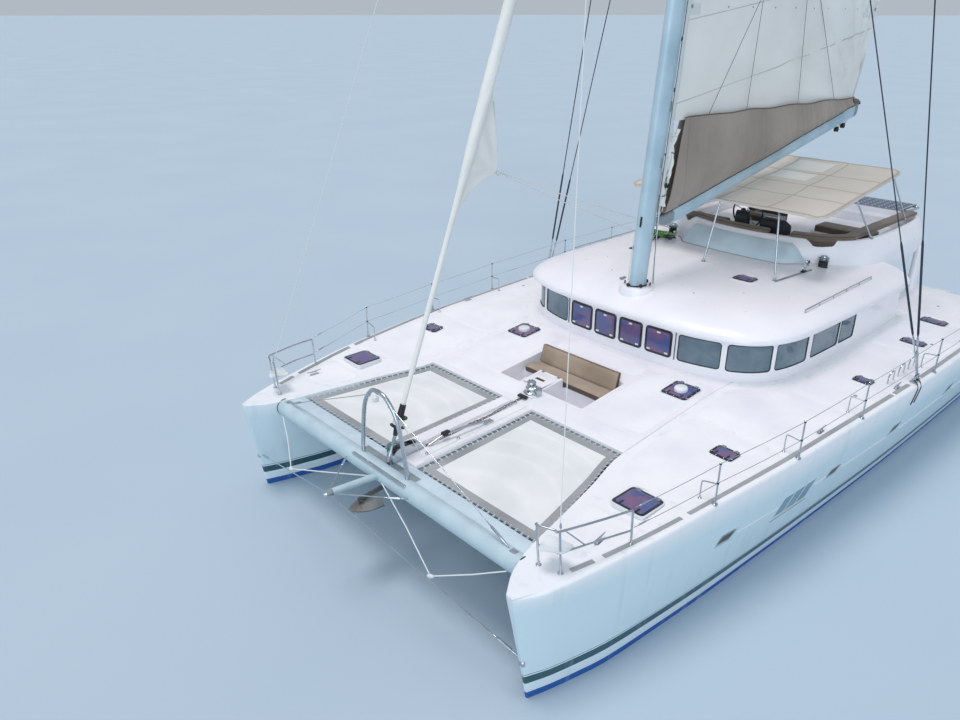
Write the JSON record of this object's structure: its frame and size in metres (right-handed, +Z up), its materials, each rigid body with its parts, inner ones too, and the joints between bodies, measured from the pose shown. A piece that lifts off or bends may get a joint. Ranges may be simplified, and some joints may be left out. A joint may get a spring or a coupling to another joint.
{
  "type": "sailing catamaran",
  "caption": "Cruising catamaran under mainsail: slim hulls joined by a bridge deck with a window-banded coachroof, flybridge under a canopy, bow nets and a furled headsail.",
  "frame": {"origin": "the waterline plane amidships on the centreline, 7.6 m aft of the stem at the waterline", "axes": "+Z up, bow towards -Y, port side towards +X, z = 0 at the water"},
  "size_m": [8.53, 15.99, 24.8694],
  "materials": {
    "gelcoat": "glossy white gelcoat",
    "antifouling": "matt blue antifouling paint",
    "steel": "polished stainless steel",
    "alloy": "pale painted aluminium",
    "bronze": "bronze",
    "cabin_glass": "grey-green tinted acrylic",
    "tinted_acrylic": "smoked acrylic",
    "cushion": "woven taupe",
    "cover": "taupe canvas",
    "canvas": "beige canvas",
    "sail": "white laminated sailcloth",
    "net": "pale netting",
    "black": "satin black",
    "wire": "dark covered wire",
    "wood": "satin wood",
    "solar": "dark blue panel"
  },
  "bodies": {
    "boat": {"bridge_deck": "gelcoat", "coachroof": "gelcoat", "cabin_glass": "cabin_glass", "saloon_bulkhead": "gelcoat", "saloon_furniture": "wood", "flybridge": "gelcoat", "bow_seat_cushion": "cushion", "bow_back_cushion": "cushion", "fly_cushion_port": "cushion", "fly_cushion_starboard": "cushion", "fly_cushion_aft": "cushion", "helm_console": "black", "helm_seat": "cushion", "bimini": "canvas", "bimini_frame": "steel", "mast": "alloy", "furled_headsail": "sail", "crossbeam": "gelcoat", "bow_arch": "steel", "bow_strut": "alloy", "anchor": "steel", "walkway": "gelcoat", "windlass": "steel", "cockpit_bench": "gelcoat", "cockpit_table": "gelcoat", "stern_frame": "steel", "solar_panel": "solar", "hull_port": "gelcoat", "hull_starboard": "gelcoat", "keel_port": "antifouling", "keel_starboard": "antifouling", "drive_leg_port": "alloy", "drive_leg_starboard": "alloy", "trampoline_port": "net", "trampoline_starboard": "net", "pulpit_port": "steel", "pulpit_starboard": "steel", "guard_rail_port": "steel", "guard_rail_starboard": "steel", "shrouds_port": "wire", "shrouds_starboard": "wire", "winch_port": "steel", "winch_starboard": "steel"},
    "boom": {"boom": "alloy", "sail_cover": "cover", "mainsail": "sail"},
    "wheel": {"steering_wheel": "black"},
    "rudder_port": {"rudder_port": "antifouling"},
    "rudder_starboard": {"rudder_starboard": "antifouling"},
    "propeller_port": {"propeller_port": "bronze"},
    "propeller_starboard": {"propeller_starboard": "bronze"},
    "saloon_door": {"saloon_door": "cabin_glass"},
    "hatch_port": {"foredeck_hatch_port": "tinted_acrylic"},
    "hatch_starboard": {"foredeck_hatch_starboard": "tinted_acrylic"}
  },
  "joints": [
    {"name": "boom_swing", "type": "hinge", "parent": "boat", "child": "boom", "pos_m": [0, -1.3549, 4.1635], "axis": [0, 0.0872, 0.9962], "range_deg": [-50, 50]},
    {"name": "wheel_turn", "type": "hinge", "parent": "boat", "child": "wheel", "pos_m": [-0.2, 2.19, 3.74], "axis": [0, 1, 0], "range_deg": [-540, 540]},
    {"name": "rudder_port_turn", "type": "hinge", "parent": "boat", "child": "rudder_port", "pos_m": [3.15, 6.3, -0.6], "axis": [0, 0, 1], "range_deg": [-35, 35]},
    {"name": "rudder_starboard_turn", "type": "hinge", "parent": "boat", "child": "rudder_starboard", "pos_m": [-3.15, 6.3, -0.6], "axis": [0, 0, 1], "range_deg": [-35, 35]},
    {"name": "propeller_port_spin", "type": "hinge", "parent": "boat", "child": "propeller_port", "pos_m": [3.15, 4.375, -0.94], "axis": [0, 1, 0], "continuous": true},
    {"name": "propeller_starboard_spin", "type": "hinge", "parent": "boat", "child": "propeller_starboard", "pos_m": [-3.15, 4.375, -0.94], "axis": [0, 1, 0], "continuous": true},
    {"name": "saloon_door_slide", "type": "slide", "parent": "boat", "child": "saloon_door", "axis": [1, 0, 0], "range_m": [0, 1.3]},
    {"name": "hatch_port_lift", "type": "hinge", "parent": "boat", "child": "hatch_port", "pos_m": [3.065, -5.31, 1.785], "axis": [-1, 0, 0], "range_deg": [0, 90]},
    {"name": "hatch_starboard_lift", "type": "hinge", "parent": "boat", "child": "hatch_starboard", "pos_m": [-3.065, -5.31, 1.785], "axis": [-1, 0, 0], "range_deg": [0, 90]}
  ],
  "couplings": [
    {"joint": "rudder_port_turn", "follows": "wheel_turn", "ratio": 0.0648},
    {"joint": "rudder_starboard_turn", "follows": "wheel_turn", "ratio": 0.0648}
  ]
}
